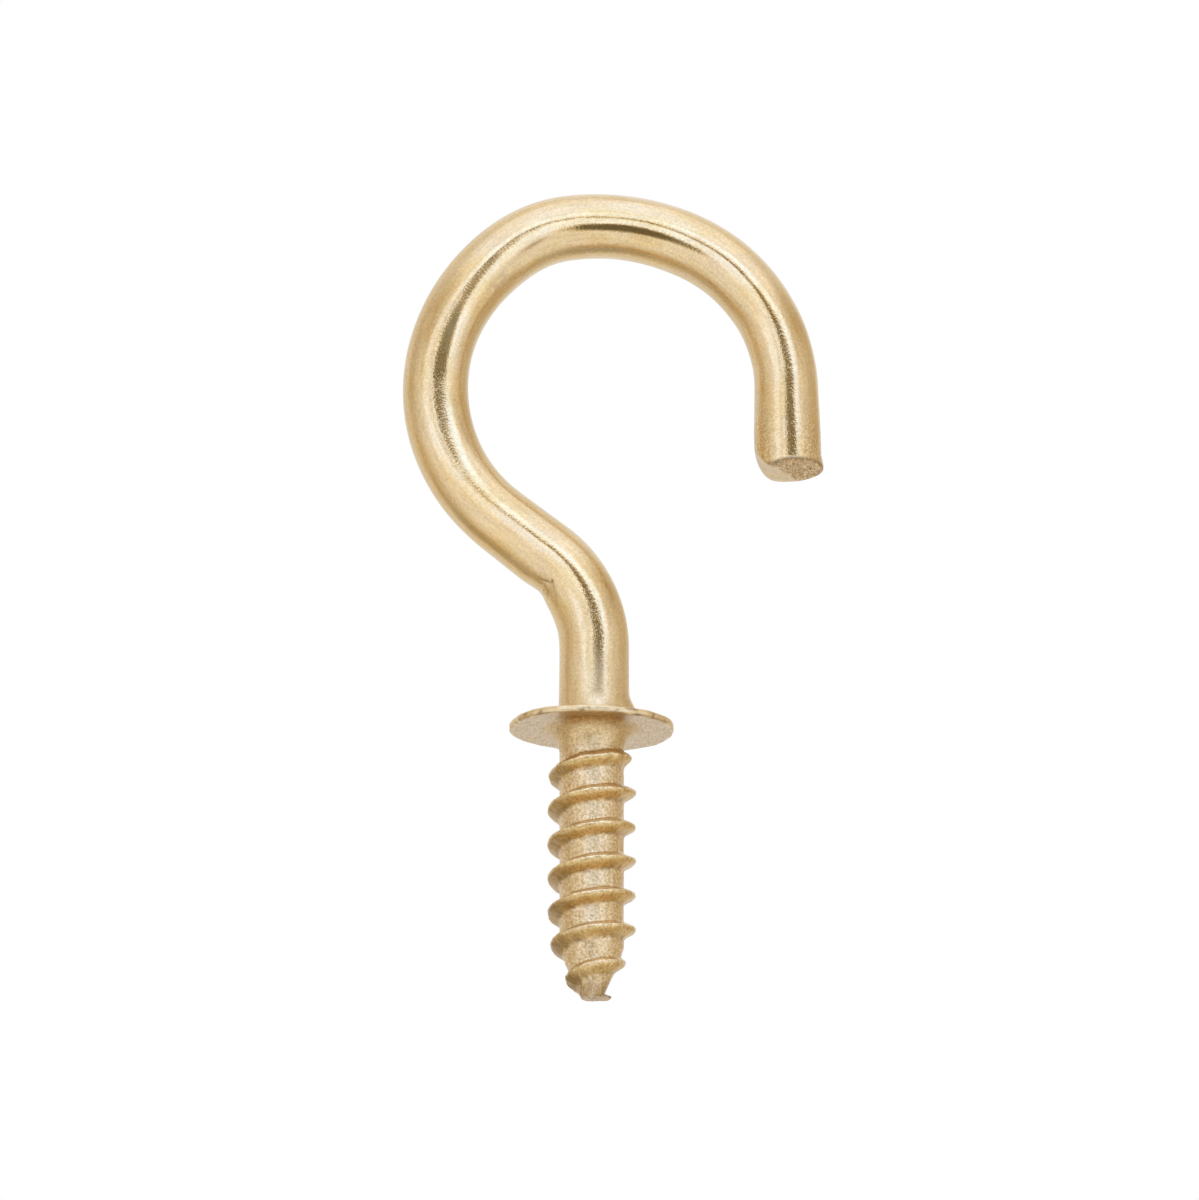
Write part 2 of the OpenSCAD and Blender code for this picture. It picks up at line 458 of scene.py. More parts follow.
@dataclass
class Collar:
    """The pressed collar: round towards the mouth and flatter at the front and the back."""

    radius: float = 3.9
    flat_radius: float = 4.9
    depth: float = 6.7
    back_shift: float = 0.4
    front_shift: float = -0.25
    corner_blend: float = 0.12
    thickness: float = 0.34
    rim: float = 0.14
    rim_rows: int = 8
    face_rows: int = 12
    foot_fillet: float = 0.6
    foot_fade: float = 0.98175
    fillet_rows: int = 12

    rim_waves: tuple[Grit, ...] = (Grit(2.2, 1.7, 0.05), Grit(0.5, 9.2, 0.05))
    face_waves: tuple[Grit, ...] = (Grit(1.1, 2.4, 0.02), Grit(0.35, 8.8, 0.012), Grit(0.15, 4.7, 0.006))
    flat_from: tuple[float, float] = (1.6, 2.6)
    nicks: Grit = Grit(0.3, 12.6, lift=-0.3)
    nick_depth: float = 0.06
    nick_dirt: float = 4.0
    rim_line: Grit = Grit(0.4, 5.5, lift=0.6)
    rim_line_dirt: float = 0.7
    rim_line_height: float = 0.02
    rim_line_width: float = 0.05

    def outline(self) -> np.ndarray:
        """The collar's outer edge.

        Returns:
            The outer radius for each column.
        """
        outline = np.full(COLUMNS, self.radius)
        blend = self.corner_blend
        for side, cx in ((-1, self.back_shift), (1, self.front_shift)):
            cy = side * (self.flat_radius - self.depth / 2)
            reach = self.flat_radius**2 - (cx * SIN - cy * COS) ** 2
            flat = cx * COS + cy * SIN + np.sqrt(reach)
            outline = -blend * np.logaddexp(-outline / blend, -flat / blend)
        points = np.stack([COS, SIN, np.zeros(COLUMNS)], axis=-1) * self.radius
        return outline + layered(points, self.rim_waves)

    def build(self, skin: Skin, screw: WoodScrew, shank: Station, shank_radius: float) -> None:
        """Adds the neck's fillet, the seat face, the rim, the top face and the shank's foot.

        Args:
            skin: The skin to add to.
            screw: The screw below, which the neck's fillet leaves.
            shank: Where the shank's spine crosses the seat plane.
            shank_radius: The shank's radius, which the foot's fillet meets.
        """
        fillet, rim = screw.neck_fillet, self.rim
        inner, outer = screw.neck_radius + fillet, self.outline()
        for share, sin, cos in self._quarter(self.fillet_rows):
            if share > 0:
                self._row(skin, 0.0, np.full(COLUMNS, inner - fillet * cos), fillet * (sin - 1), share)
        for share in self._across():
            self._row(skin, 0.0, inner + (outer - rim - inner) * share, 0.0, 1.0)
        for _, sin, cos in self._quarter(self.rim_rows):
            self._row(skin, 0.0, outer - rim * (1 - sin), rim * (1 - cos), 1.0, edge=1.0)
        for _, sin, cos in self._quarter(self.rim_rows):
            self._row(skin, 0.0, outer - rim * (1 - cos), self.thickness - rim * (1 - sin), 1.0, edge=1.0)
        foot = shank_radius + self.foot_fillet + foot_swell(self.thickness)
        for share in self._across():
            self._row(skin, shank.x * share, (outer - rim) * (1 - share) + foot * share, self.thickness, 1.0)
        for share, sin, cos in self._quarter(self.fillet_rows):
            up = self.thickness + self.foot_fillet * (1 - cos)
            radius = shank_radius + self.foot_fillet * (1 - sin) + foot_swell(up)
            self._row(skin, shank.x, radius, up, 1 - self.foot_fade * share, satin=1.0)

    @staticmethod
    def _quarter(rows: int) -> list[tuple[float, float, float]]:
        """A quarter turn in even steps: each step's share of it, and its sine and cosine."""
        turns = [(i / rows, i / rows * math.pi / 2) for i in range(rows + 1)]
        return [(share, math.sin(turn), math.cos(turn)) for share, turn in turns]

    def _across(self) -> list[float]:
        """The shares of the way across a face at which its rows lie."""
        return [i / (self.face_rows + 1) for i in range(1, self.face_rows + 1)]

    def _row(
        self,
        skin: Skin,
        centre: float,
        radius: np.ndarray,
        up: float,
        weight: float,
        edge: float = 0.0,
        satin: float = 0.0,
    ) -> None:
        """Adds one row of the collar.

        Args:
            skin: The skin to add to.
            centre: How far the row's centre is from the screw's axis, towards the mouth.
            radius: Each column's radius.
            up: The row's height over the seat plane.
            weight: How much of the collar's finish the row has.
            edge: How worn the row is, as an edge.
            satin: How satin the row is.
        """
        station = Station(centre, up, UP, up)
        spot = station.drawn(radius)
        waves = layered(spot, self.face_waves) * smooth(radius, *self.flat_from)
        nicks = self.nicks.cover(spot) * edge
        line = edge * bell(up, self.rim_line_height, self.rim_line_width) * self.rim_line.cover(spot)
        under = float(up < 0)
        paint = {
            Zone.THREAD: under,
            Zone.FLANK: NECK_AS_FLANK * under,
            Zone.COLLAR: max(NECK_AS_COLLAR * under, weight),
            Zone.EDGE: edge,
            Zone.SATIN: satin,
            Zone.SEAM: held(nicks * self.nick_dirt + line * self.rim_line_dirt),
        }
        skin.add(station.ring(radius - self.nick_depth * nicks, waves), spot, paint)


# ------------------------------------------------------------------------------- the wire


@dataclass(frozen=True)
class Arc:
    """A round stretch of the spine: its radius, and its turn in degrees."""

    radius: float
    turn: float

    def length(self) -> float:
        """The arc's length along the spine."""
        return self.radius * math.radians(self.turn)


@dataclass(frozen=True)
class Press:
    """A stretch of the wire lightly flattened at the front.

    It deepens from start to full and fades from fading to end, all lengths from the seat. Its
    middle and width are angles from the front round to the inner side.
    """

    start: float
    full: float
    fading: float
    end: float
    depth: float
    middle: float
    width: float

    def sink(self, length: float, front: np.ndarray) -> np.ndarray:
        """How far the surface is pressed in, for each column."""
        grown = smooth(length, self.start, self.full) * (1 - smooth(length, self.fading, self.end))
        return grown * self.depth * bell(front, self.middle, self.width)


@dataclass(frozen=True)
class Mark:
    """A soft-edged mark: its middle and reach along the wire, and its middle and spread round it."""

    along: float
    reach: float
    turn: float
    spread: float

    def cover(self, length: float, side: np.ndarray) -> np.ndarray:
        """How much of each column the mark covers."""
        return bell(length, self.along, self.reach) * bell(side, self.turn, self.spread)


@dataclass
class Wire:
    """The wire above the collar: shank, lower bend, lead, the bow's five arcs, and the tip.

    Girths and depths are half sizes in the bow's plane and across it, each with the length from
    the seat at which it holds. Marks of the nip count their length from the pinch.
    """

    offset: float = 0.12
    shank_height: float = 4.1
    bend: Arc = Arc(5.85, 51.2)
    lead: float = 2.85
    bow: tuple[Arc, ...] = (Arc(8.25, 81.0), Arc(9.05, 25.0), Arc(5.7, 27.5), Arc(10.2, 33.0))
    front_radius: float = 8.0
    tip_lean: float = -1.3
    tip: float = 4.0
    shank_radius: float = 1.69
    girths: tuple[tuple[float, float], ...] = (
        (0.94, 1.685),
        (2.0, 1.66),
        (3.4, 1.648),
        (9.5, 1.66),
        (13.0, 1.585),
        (17.5, 1.575),
        (22.5, 1.535),
        (27.0, 1.56),
        (33.0, 1.53),
        (36.0, 1.54),
        (41.5, 1.485),
        (44.0, 1.5),
        (47.5, 1.59),
    )
    depths: tuple[tuple[float, float], ...] = (
        (0.94, 1.7),
        (2.3, 1.665),
        (3.8, 1.65),
        (9.5, 1.64),
        (20.0, 1.56),
    )
    row_spacing: float = 0.24
    nip_spacing: float = 0.06
    nip_reach: float = 1.1

    pinch_back: float = 1.0
    nip: Mark = Mark(0.0, 0.75, 0.0, 0.75)
    nip_depth: float = 0.13
    lump: Mark = Mark(-0.35, 0.35, 0.45, 0.3)
    lump_height: float = 0.04
    scuff: Mark = Mark(-0.3, 0.6, 0.4, 0.4)
    scuff_grain: Grit = Grit(0.22, 2.7, 0.03)
    crease_depth: float = 0.06
    crease_width: float = 0.07
    crease_rags: tuple[Grit, ...] = (Grit(0.4, 5.9, 0.05), Grit(0.15, 3.3, 0.04))
    # Painted shade along the nip's crease.
    crease_shade: float = 0.9
    crease_curl: tuple[float, float] = (0.5, 0.85)
    crease_drop: float = 0.75
    crease_top: float = 0.37
    crease_sides: tuple[float, float] = (0.52, 0.96)
    trail_reach: tuple[float, float] = (6.6, 7.9)
    trail_turn: float = 0.6
    trail_lean: float = 0.25
    trail_width: float = 0.035
    trail_dirt: tuple[float, float] = (0.35, 0.85)
    presses: tuple[Press, ...] = (
        Press(start=-2.0, full=-1.0, fading=5.2, end=8.0, depth=0.045, middle=0.03, width=0.35),
        Press(start=10.5, full=17.5, fading=20.0, end=24.5, depth=0.075, middle=0.13, width=0.42),
        Press(start=40.5, full=43.5, fading=60.0, end=61.0, depth=0.03, middle=-0.07, width=0.35),
    )
    inner_flat: float = 0.03
    inner_flat_spread: float = 0.5
    inner_flat_fade: float = 3.0
    waves: tuple[Grit, ...] = (Grit(2.6, 4.4, 0.012), Grit(0.8, 6.1, 0.004))
    smudge: Mark = Mark(25.8, 1.0, 0.7, 0.15)
    smudge_grain: Grit = Grit(0.2, 4.2, 1.6, 0.4)
    smudge_dirt: float = 0.7
    scratch: Mark = Mark(28.4, 0.9, 0.42, 0.05)
    scratch_dirt: float = 0.6
    inner_side: tuple[float, float] = (0.3, 0.6)
    inner_satin: float = 0.7
    foot_scuff: float = 0.2
    tip_scuff: tuple[float, float] = (1.0, 3.6)
    tip_polish: float = 0.55
    foot_top_share: float = 0.65
    foot_top_fade: tuple[float, float] = (2.4, 4.5)
    foot_low_fade: tuple[float, float] = (1.0, 2.2)
    foot_pebble: tuple[float, float] = (5.0, 2.0)
    bow_pebble: tuple[float, float] = (18.6, 2.3)
    tip_pebble: tuple[float, float] = (40.0, 43.0)
    pebble_shares: tuple[float, float, float] = (0.2, 0.9, 0.6)

    def runs(self) -> list[tuple[float, float]]:
        """The spine's runs, from the seat plane to the tip.

        Returns:
            Each run's length and its turn in degrees, left turns positive.
        """
        front_turn = 180 + self.bend.turn + self.tip_lean - sum(arc.turn for arc in self.bow)
        arcs = [(arc.length(), -arc.turn) for arc in (*self.bow, Arc(self.front_radius, front_turn))]
        bend = (self.bend.length(), self.bend.turn)
        return [(self.shank_height, 0.0), bend, (self.lead, 0.0), *arcs, (self.tip, 0.0)]

    def lead_start(self) -> float:
        """The length along the spine at which the lower bend ends."""
        return self.shank_height + self.bend.length()

    def pinch(self) -> float:
        """The length along the spine at which the bending tool nipped the wire."""
        return self.lead_start() - self.pinch_back

    def total(self) -> float:
        """The spine's whole length from the seat plane."""
        return sum(length for length, _ in self.runs())

    def station(self, length: float) -> Station:
        """The spine's station at a length from the seat plane.

        Args:
            length: The distance along the spine.

        Returns:
            The station there.
        """
        x, z, heading, left = self.offset, 0.0, UP, length
        for run, turn in self.runs():
            part = min(left, run)
            half = math.radians(turn) * part / run / 2
            chord = part * math.sin(half) / half if half else part
            x += chord * math.cos(heading + half)
            z += chord * math.sin(heading + half)
            heading += 2 * half
            left -= part
            if left <= 0:
                break
        return Station(x, z, heading, length)

    def section(self, length: float) -> np.ndarray:
        """The wire's radius for each column: bending thins it in its own plane more than across it."""
        width, depth = (np.interp(length, *zip(*sizes)) for sizes in (self.girths, self.depths))
        return width * COS**2 + depth * SIN**2

    def marks(self, spot: np.ndarray, length: float) -> tuple[np.ndarray, Paint]:
        """What the bending tools and handling did to the surface, for each column, with painted shade along
        the nip's crease.

        Args:
            spot: The row's points on the straightened wire.
            length: The row's length along the spine.

        Returns:
            The move outward in millimetres, and the paint that goes with it.
        """
        front = around_gap(FRONT)
        crease = self._crease(spot, length)
        scuffed = self.scuff.cover(length - self.pinch(), around_gap(OUTER))
        move = self._nip(length) - self.crease_depth * crease - self._flats(length)
        move = move + scuffed * self.scuff_grain.at(spot) + layered(spot, self.waves) + foot_swell(length)
        left = self.total() - length
        near_tip = (1 - smooth(left, *self.tip_scuff)) * (1 - bell(front, 0.0, self.tip_polish))
        foot = self.foot_top_share * (1 - smooth(length, *self.foot_top_fade))
        foot = foot + (1 - self.foot_top_share) * (1 - smooth(length, *self.foot_low_fade))
        smudge = self.smudge_dirt * self.smudge.cover(length, front) * self.smudge_grain.cover(spot)
        scratch = self.scratch_dirt * self.scratch.cover(length, front)
        return move, {
            # Painted shade in the nip's crease, with the real fine line, scratch and smudge.
            Zone.SEAM: held(crease * self.crease_shade + self._trail(length) + scratch + smudge),
            Zone.SCUFF: held(scuffed + foot * self.foot_scuff + near_tip),
            Zone.SATIN: held(foot + self.inner_satin * smooth(COS, *self.inner_side)),
            Zone.PEBBLE: self._pebble(length) * (1 - foot),
        }

    def _nip(self, length: float) -> np.ndarray:
        """The tool's nip on the inside of the lower bend, and the lump it pushed up beside it."""
        along, side = length - self.pinch(), around_gap(OUTER)
        return self.lump_height * self.lump.cover(along, side) - self.nip_depth * self.nip.cover(along, side)

    def _crease(self, spot: np.ndarray, length: float) -> np.ndarray:
        """The short crease that curls round from the nip towards the front.

        Args:
            spot: The row's points on the straightened wire.
            length: The row's length along the spine.

        Returns:
            How much of each column the crease covers.
        """
        side, (near, far) = around_gap(OUTER), self.crease_sides
        curl = self.crease_top - self.crease_drop * smooth(side, *self.crease_curl)
        fold = self.pinch() + curl + layered(spot, self.crease_rags)
        kept = smooth(side, near, near + 0.14) * (1 - smooth(side, far - 0.08, far))
        return bell(length, fold, self.crease_width) * kept

    def _trail(self, length: float) -> np.ndarray:
        """The fine line that runs down the wire from the crease, darkest next to it.

        Args:
            length: The row's length along the spine.

        Returns:
            How dark the line is in each column.
        """
        low, high = self.trail_reach
        line = bell(around_gap(OUTER), self.trail_turn + self.trail_lean * (length - low), self.trail_width)
        kept = smooth(length, low - 0.3, low + 0.2) * (1 - smooth(length, high, high + 0.15))
        faint, dark = self.trail_dirt
        return line * kept * (faint + (dark - faint) * smooth(length, high - 0.6, high - 0.1))

    def _flats(self, length: float) -> np.ndarray:
        """How far the surface is flattened in: at the presses, and all along the bow's inner side.

        Args:
            length: The row's length along the spine.

        Returns:
            The depth for each column.
        """
        bow_start = self.lead_start() + self.lead
        inner = self.inner_flat * bell(around_gap(INNER), 0.0, self.inner_flat_spread)
        pressed = sum(press.sink(length, around_gap(FRONT)) for press in self.presses)
        return inner * smooth(length, bow_start, bow_start + self.inner_flat_fade) + pressed

    def _pebble(self, length: float) -> np.ndarray:
        """How pebbled the surface is.

        Args:
            length: The row's length along the spine.

        Returns:
            The paint: strongest over the foot, up the bow's back and at the tip.
        """
        foot, bow = bell(length, *self.foot_pebble), bell(length, *self.bow_pebble)
        everywhere, at_bow, at_tip = self.pebble_shares
        return held(everywhere + foot + at_bow * bow + at_tip * smooth(length, *self.tip_pebble))

    def rows(self, start: float, stop: float) -> np.ndarray:
        """Where the wire's rows lie: even, and close together at the nip.

        Args:
            start: The length along the spine that the rows start after.
            stop: The length of the last row.

        Returns:
            The rows' lengths along the spine.
        """
        lengths = [start]
        while lengths[-1] < stop - 1e-6:
            near = abs(lengths[-1] - self.pinch()) < self.nip_reach
            lengths.append(lengths[-1] + (self.nip_spacing if near else self.row_spacing))
        scale = (stop - start) / (lengths[-1] - start)
        return start + (np.array(lengths[1:]) - start) * scale

    def build(self, skin: Skin, start: float, end: "ShearedEnd") -> None:
        """Adds the wire's rows and its sheared end.

        Args:
            skin: The skin to add to.
            start: The length along the spine at which the foot's fillet ends.
            end: The sheared end, which closes the wire.
        """
        stop = self.total() - end.reach
        for length in self.rows(start, stop):
            station = self.station(length)
            radius = self.section(length)
            spot = station.drawn(radius)
            move, paint = self.marks(spot, length)
            skin.add(station.ring(radius + move), spot, paint)
        end.build(skin, self, stop)


@dataclass
class ShearedEnd:
    """The free end: torn by the shears on the outer side and rolled under towards the shank.

    Positions on the end face are x towards the shank and y towards the back.
    """

    reach: float = 1.5
    slope_back: float = 0.07
    rise: float = 0.03
    roll_start: float = 0.6
    roll_across: float = 1.0
    roll_down: float = 1.4
    lip: float = 0.22
    lip_place: tuple[float, float] = (0.85, -1.2)
    lip_size: float = 0.6
    torn_turn: float = 30.0
    torn_until: tuple[float, float] = (-0.1, 0.35)
    torn_border: tuple[Grit, ...] = (Grit(0.6, 7.2, 0.3), Grit(0.25, 1.4, 0.15))
    border_plane: float = 20.0
    torn_grain: tuple[Grit, ...] = (Grit(0.5, 2.2, 0.06), Grit(0.2, 3.9, 0.07))
    grain_plane: float = 40.0
    rolled_grain: float = 0.25
    edge: float = 0.07
    wall_rows: int = 20
    wall_grain: Grit = Grit(0.3, 6.1, 0.012)
    wall_grain_rise: tuple[float, float] = (0.5, 1.0)
    worn_rise: tuple[float, float] = (0.9, 1.0)
    # Painted shade along the top of the wall where the end is torn.
    torn_rim_shade: float = 0.95
    worn_shear: float = 0.7
    edge_rows: int = 6
    face_rows: int = 22
    burr: float = 0.09
    burr_spread: float = 0.55
    burr_rise: tuple[float, float] = (0.45, 0.95)
    # Painted shade over the rounded edge of the torn rim, fading towards the end face.
    darkening: float = 0.8

    def face(self, x: np.ndarray, y: np.ndarray, wire_radius: np.ndarray) -> np.ndarray:
        """The end face's height past the wire's nominal end, negative where it falls short.

        Args:
            x: Each point's place across the face.
            y: Each point's place towards the back.
            wire_radius: The wire's radius in each point's direction.

        Returns:
            The height at each point.
        """
        over = np.clip((x - self.roll_start) / self.roll_across, 0, 0.995)
        rolled = self.roll_down * (1 - np.sqrt(1 - over**2))
        lip = self.lip * bell(np.hypot(x - self.lip_place[0], y - self.lip_place[1]), 0.0, self.lip_size)
        grain = layered(np.stack([x, y, np.full_like(x, self.grain_plane)], axis=-1), self.torn_grain)
        grain = grain * smooth(wire_radius - np.hypot(x, y), 0.0, 0.3)
        grain = grain * (self.rolled_grain + (1 - self.rolled_grain) * self.torn(x, y))
        return self.rise + self.slope_back * y + lip - rolled + grain

    def torn(self, x: np.ndarray, y: np.ndarray) -> np.ndarray:
        """How torn the end face is: 1 where the metal broke, 0 where it rolled under.

        Args:
            x: Each point's place across the face.
            y: Each point's place towards the back.

        Returns:
            How torn each point is.
        """
        turn = math.radians(self.torn_turn)
        points = np.stack([x, y, np.full_like(x, self.border_plane)], axis=-1)
        across = x * math.cos(turn) + y * math.sin(turn) + layered(points, self.torn_border)
        return 1 - smooth(across, *self.torn_until)

    def build(self, skin: Skin, wire: Wire, start: float) -> None:
        """Adds the last stretch of the wire's side, its edge and the end face.

        Args:
            skin: The skin to add to.
            wire: The wire that ends here.
            start: The length along the spine at which this stretch starts.
        """
        base, nominal = wire.station(start), wire.total() - start
        full = wire.section(wire.total())
        height = nominal + self.face(full * COS, full * SIN, full)
        torn = self.torn(full * COS, full * SIN)
        outer_side = bell(around_gap(OUTER), 0.0, self.burr_spread)
        for i in range(1, self.wall_rows + 1):
            share = i / self.wall_rows
            ahead = (height - self.edge) * share
            spot = base.drawn(full, ahead)
            move, paint = wire.marks(spot, start + share * nominal)
            move = move + self.burr * outer_side * smooth(share, *self.burr_rise)
            move = move + self.wall_grain.at(spot) * smooth(share, *self.wall_grain_rise)
            radius = wire.section(start + share * nominal) + move
            worn = smooth(share, *self.worn_rise) * torn
            # Painted shade along the top of the wall at the torn rim.
            paint[Zone.SEAM] = np.maximum(paint[Zone.SEAM], worn * self.torn_rim_shade)
            paint[Zone.SHEAR] = worn * self.worn_shear
            skin.add(base.ring(radius, ahead), spot, paint)
        rim = radius - self.edge
        for i in range(1, self.edge_rows + 1):
            turn = i / self.edge_rows * math.pi / 2
            radius = rim + self.edge * math.cos(turn)
            ahead = nominal + self.face(radius * COS, radius * SIN, full) - self.edge * (1 - math.sin(turn))
            self._face_row(skin, base, radius, ahead, torn, torn * max(math.cos(turn), 0.3))
        for i in range(1, self.face_rows + 1):
            radius = rim * max(0.0, 1 - i / self.face_rows)
            x, y = radius * COS, radius * SIN
            self._face_row(skin, base, radius, nominal + self.face(x, y, full), self.torn(x, y), 0.0)

    def _face_row(
        self,
        skin: Skin,
        base: Station,
        radius: np.ndarray,
        ahead: np.ndarray,
        torn: np.ndarray,
        shaded: Values,
    ) -> None:
        """Adds one row of the end's edge or face.

        Args:
            skin: The skin to add to.
            base: The station at which the end's stretch starts.
            radius: Each column's distance from the spine.
            ahead: Each column's distance past the base.
            torn: How torn each column is.
            shaded: How much painted shade each column gets over the torn rim's rounded edge.
        """
        paint = {
            Zone.SHEAR: torn,
            # Painted shade over the torn rim's edge.
            Zone.SEAM: shaded * self.darkening,
            Zone.COLLAR: NECK_AS_COLLAR * (1 - torn),
            Zone.SATIN: 1.0,
        }
        skin.add(base.ring(radius, ahead), base.drawn(radius, ahead), paint)


# ----------------------------------------------------------------------------- the finish


@dataclass(frozen=True)
class Texture:
    """A noise texture: its repeats for each unit of length, its detail and its roughness.

    Where the repeats are three numbers they hold along x, y and the wire, and stretch it. A
    patch of it starts to show at the first value of its window and is full at the second.
    """

    scale: float | tuple[float, float, float]
    detail: float = 2.0
    rough: float = 0.5
    window: tuple[float, float] = (0.0, 1.0)


@dataclass
class NodeBench:
    """A short way to lay out shader nodes in one tree."""

    tree: bpy.types.NodeTree
    placed: int = 0
    per_row: int = 12
    spacing: tuple[int, int] = (190, 320)

    def add(self, kind: str, **settings: object) -> bpy.types.Node:
        """Adds a node.

        Args:
            kind: The node's type name.
            settings: Properties to set on it.

        Returns:
            The new node.
        """
        node = self.tree.nodes.new(kind)
        row, column = divmod(self.placed, self.per_row)
        node.location = (column * self.spacing[0], -row * self.spacing[1])
        self.placed += 1
        for name, value in settings.items():
            setattr(node, name, value)
        return node

    def feed(self, socket: bpy.types.NodeSocket, value: object) -> None:
        """Gives a socket a link or a plain value.

        Args:
            socket: The input socket.
            value: An output socket to link, or the value to set.
        """
        if isinstance(value, bpy.types.NodeSocket):
            self.tree.links.new(value, socket)
        else:
            socket.default_value = value

    def maths(
        self, operation: str, a: object, b: object = 0.0, c: object = 0.0, clamp: bool = False
    ) -> object:
        """A Math node's result.

        Args:
            operation: The Math node's operation.
            a: The first value or link.
            b: The second value or link.
            c: The third value or link.
            clamp: Whether the result is held between 0 and 1.

        Returns:
            The node's output socket.
        """
        node = self.add("ShaderNodeMath", operation=operation, use_clamp=clamp)
        for socket, value in zip(node.inputs, (a, b, c)):
            self.feed(socket, value)
        return node.outputs[0]

    def times(self, a: object, b: object) -> object:
        """The product of two values."""
        return self.maths("MULTIPLY", a, b)

    def minus(self, a: object, b: object, clamp: bool = False) -> object:
        """The first value less the second."""
        return self.maths("SUBTRACT", a, b, clamp=clamp)

    def times_plus(self, a: object, b: object, c: object, clamp: bool = False) -> object:
        """The product of the first two values, plus the third."""
        return self.maths("MULTIPLY_ADD", a, b, c, clamp=clamp)

    def larger(self, a: object, b: object) -> object:
        """The larger of two values."""
        return self.maths("MAXIMUM", a, b)

    def ramp(self, value: object, start: float, end: float) -> object:
        """A ramp that eases from 0 at start to 1 at end.

        Args:
            value: The value or link that is read.
            start: The value that gives 0.
            end: The value that gives 1.

        Returns:
            The ramp's output socket.
        """
        node = self.add("ShaderNodeMapRange", interpolation_type="SMOOTHSTEP")
        for socket, given in zip(node.inputs, (value, start, end, 0.0, 1.0)):
            self.feed(socket, given)
        return node.outputs["Result"]

    def mix(self, share: object, a: object, b: object) -> object:
        """Mixes two colours.

        Args:
            share: How much of the second colour shows.
            a: The first colour or link.
            b: The second colour or link.

        Returns:
            The mixed colour's socket.
        """
        node = self.add("ShaderNodeMix", data_type="RGBA")
        first, second = (socket for socket in node.inputs if socket.type == "RGBA")
        for socket, value in zip((node.inputs["Factor"], first, second), (share, a, b)):
            self.feed(socket, value)
        return next(socket for socket in node.outputs if socket.type == "RGBA")

    def vector(self, operation: str, a: object, b: object) -> bpy.types.Node:
        """A Vector Math node of two vectors, or of a vector and its scale.

        Args:
            operation: The Vector Math node's operation.
            a: The vector.
            b: The second vector, or the scale.

        Returns:
            The node.
        """
        node = self.add("ShaderNodeVectorMath", operation=operation)
        self.feed(node.inputs[0], a)
        self.feed(node.inputs["Scale"] if operation == "SCALE" else node.inputs[1], b)
        return node

    def noise(self, where: object, texture: Texture) -> object:
        """A noise texture's value at a place, from 0 to 1.

        Args:
            where: The place.
            texture: The noise texture's settings.

        Returns:
            The value's socket.
        """
        scale = texture.scale
        if isinstance(scale, tuple):
            where, scale = self.vector("MULTIPLY", where, scale).outputs[0], 1.0
        node = self.add("ShaderNodeTexNoise")
        given = {"Vector": where, "Scale": scale, "Detail": texture.detail, "Roughness": texture.rough}
        for name, value in given.items():
            self.feed(node.inputs[name], value)
        return node.outputs["Fac"]

    def patches(self, where: object, texture: Texture) -> object:
        """How far a place lies in one of the texture's patches, from 0 to 1."""
        return self.ramp(self.noise(where, texture), *texture.window)

    def attribute(self, name: str, output: str = "Fac") -> object:
        """A named mesh attribute's socket."""
        return self.add("ShaderNodeAttribute", attribute_name=name).outputs[output]

    def camera_mix(self, seen: object, others: object, camera: object, output: str) -> None:
        """Sends two shaders to the tree's output, one of them for the camera.

        Args:
            seen: How much of the camera's shader shows.
            others: The shader socket for everything else.
            camera: The shader socket for the camera.
            output: The output node's type name.
        """
        chosen = self.add("ShaderNodeMixShader")
        for socket, value in zip(chosen.inputs, (seen, others, camera)):
            self.feed(socket, value)
        self.feed(self.add(output).inputs["Surface"], chosen.outputs[0])


@dataclass
class MetalBench(NodeBench):
    """The bench of the hook's metal, with what its nodes read from the skin.

    place is the place on the straightened wire, zones holds each zone's paint, plain is the
    collar without its edges, and worked runs from 0 on the drawn wire to 1 on the thread.
    """

    place: object = None
    zones: dict[Zone, object] = field(default_factory=dict)
    plain: object = None
    worked: object = None

    def __post_init__(self) -> None:
        """Adds the nodes that read the skin."""
        self.place = self.attribute("drawn", "Vector")
        self.zones = {zone: self.attribute(zone.value) for zone in Zone}
        self.plain = self.minus(self.zones[Zone.COLLAR], self.zones[Zone.EDGE], clamp=True)
        self.worked = self.larger(self.zones[Zone.THREAD], self.zones[Zone.SHEAR])
        for zone, share in ((Zone.COLLAR, 0.8), (Zone.SCUFF, 0.6)):
            self.worked = self.larger(self.worked, self.times(self.zones[zone], share))

    def worked_less(self, *calmer: tuple[Zone, float]) -> object:
        """How far the surface is worked, less for the zones that keep a calmer look.

        Args:
            calmer: Each calmer zone and the share that it takes away.

        Returns:
            The value's socket.
        """
        value = self.worked
        for zone, share in calmer:
            value = self.times_plus(self.zones[zone], -share, value, clamp=True)
        return value


Tone = tuple[float, float, float, float]


def tone(red: float, green: float, blue: float) -> Tone:
    """A linear colour with full cover."""
    return (red, green, blue, 1.0)


def new_material(name: str) -> bpy.types.Material:
    """A new material with an empty node tree.

    Args:
        name: The material's name.

    Returns:
        The material.
    """
    material = bpy.data.materials.new(name)
    material.use_nodes = True
    material.node_tree.nodes.clear()
    return material


